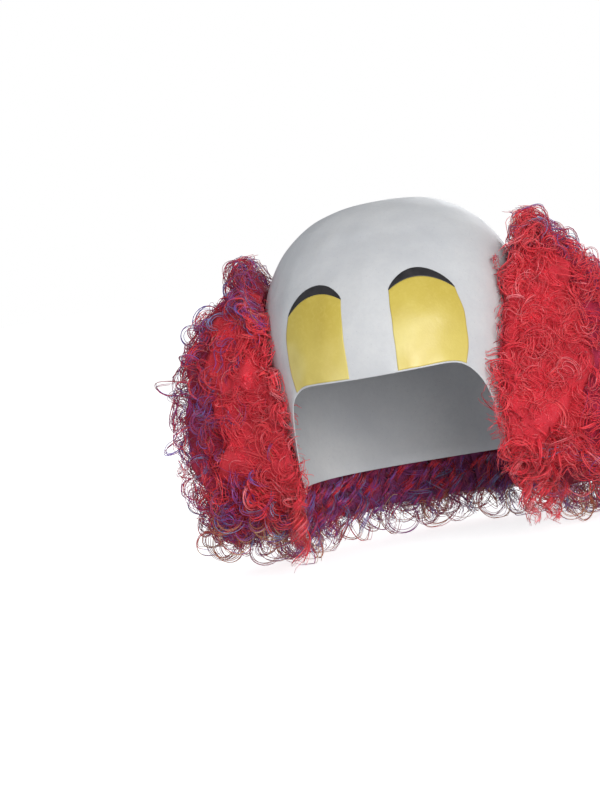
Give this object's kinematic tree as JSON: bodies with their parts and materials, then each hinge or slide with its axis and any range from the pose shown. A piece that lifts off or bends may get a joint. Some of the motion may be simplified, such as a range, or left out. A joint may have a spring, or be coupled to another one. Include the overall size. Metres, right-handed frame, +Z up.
{
  "type": "clown bald-cap wig",
  "caption": "Latex bald cap with painted eyelid panels and brows, side flaps, and a fringe of curly hair wefts round the sides and nape.",
  "frame": {"origin": "inside of the crown, where the top of the head sits", "axes": "+Z up, the face opening looks along -Y, +X to the right as seen from the front"},
  "size_m": [0.313, 0.2485, 0.2108],
  "materials": {
    "latex": "satin off-white moulded latex",
    "yellow_paint": "satin yellow latex paint",
    "black_paint": "satin black latex paint",
    "weft_band": "matt sewn tape",
    "red_hair": "glossy synthetic fibre",
    "violet_hair": "glossy synthetic fibre"
  },
  "bodies": {
    "root": {"latex_cap": "latex", "right_eyelid_paint": "yellow_paint", "left_eyelid_paint": "yellow_paint", "right_brow_paint": "black_paint", "left_brow_paint": "black_paint", "right_weft_band_1": "weft_band", "right_curls_1": "red_hair", "right_weft_band_2": "weft_band", "right_curls_2": "red_hair", "right_weft_band_3": "weft_band", "right_curls_3": "red_hair", "right_weft_band_4": "weft_band", "right_curls_4": "violet_hair", "right_weft_band_5": "weft_band", "right_curls_5": "violet_hair", "right_weft_band_6": "weft_band", "right_curls_6": "violet_hair", "left_weft_band_1": "weft_band", "left_curls_1": "red_hair", "left_weft_band_2": "weft_band", "left_curls_2": "red_hair", "left_weft_band_3": "weft_band", "left_curls_3": "red_hair", "left_weft_band_4": "weft_band", "left_curls_4": "violet_hair", "left_weft_band_5": "weft_band", "left_curls_5": "violet_hair", "left_weft_band_6": "weft_band", "left_curls_6": "violet_hair", "back_weft_band": "weft_band", "back_curls": "violet_hair"}
  },
  "joints": []
}
